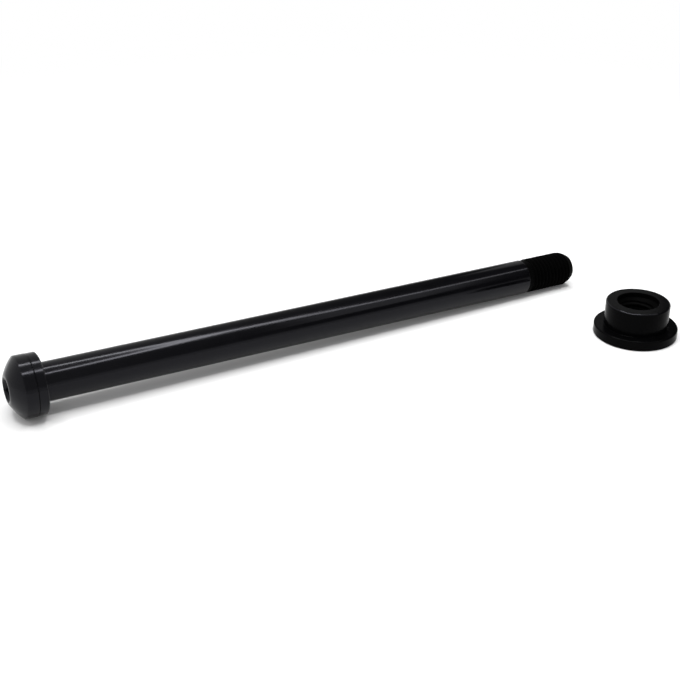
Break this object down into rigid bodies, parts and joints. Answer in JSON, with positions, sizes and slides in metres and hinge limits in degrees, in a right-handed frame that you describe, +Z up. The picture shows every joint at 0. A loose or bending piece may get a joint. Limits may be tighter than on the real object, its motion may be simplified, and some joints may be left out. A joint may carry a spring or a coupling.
{
  "type": "bicycle thru axle",
  "caption": "Black through axle for a bicycle wheel: domed hex-socket head, turning thrust washer, plain round shaft with a threaded end, and its flanged nut standing beside it.",
  "frame": {"origin": "centre of the thrust washer's seat face, on the axle's axis", "axes": "+X along the axle from head to threaded end, level; +Z up; the axle's own axis dips 1.06 degrees below +X, because it lies on its head's rim and its thread's end"},
  "size_m": [0.2124, 0.068, 0.0192],
  "materials": {
    "gloss_anodised_aluminium": "gloss black hard anodised, thread matte",
    "gloss_anodised_washer": "gloss black hard anodised",
    "satin_anodised_nut": "satin black hard anodised"
  },
  "bodies": {
    "axle_body": {"axle": "gloss_anodised_aluminium", "flange_nut": "satin_anodised_nut"},
    "washer_body": {"head_washer": "gloss_anodised_washer"}
  },
  "joints": [
    {"name": "washer_spin", "type": "hinge", "parent": "axle_body", "child": "washer_body", "pos_m": [0, 0, 0], "axis": [0.9998, 0, -0.0185], "continuous": true}
  ]
}
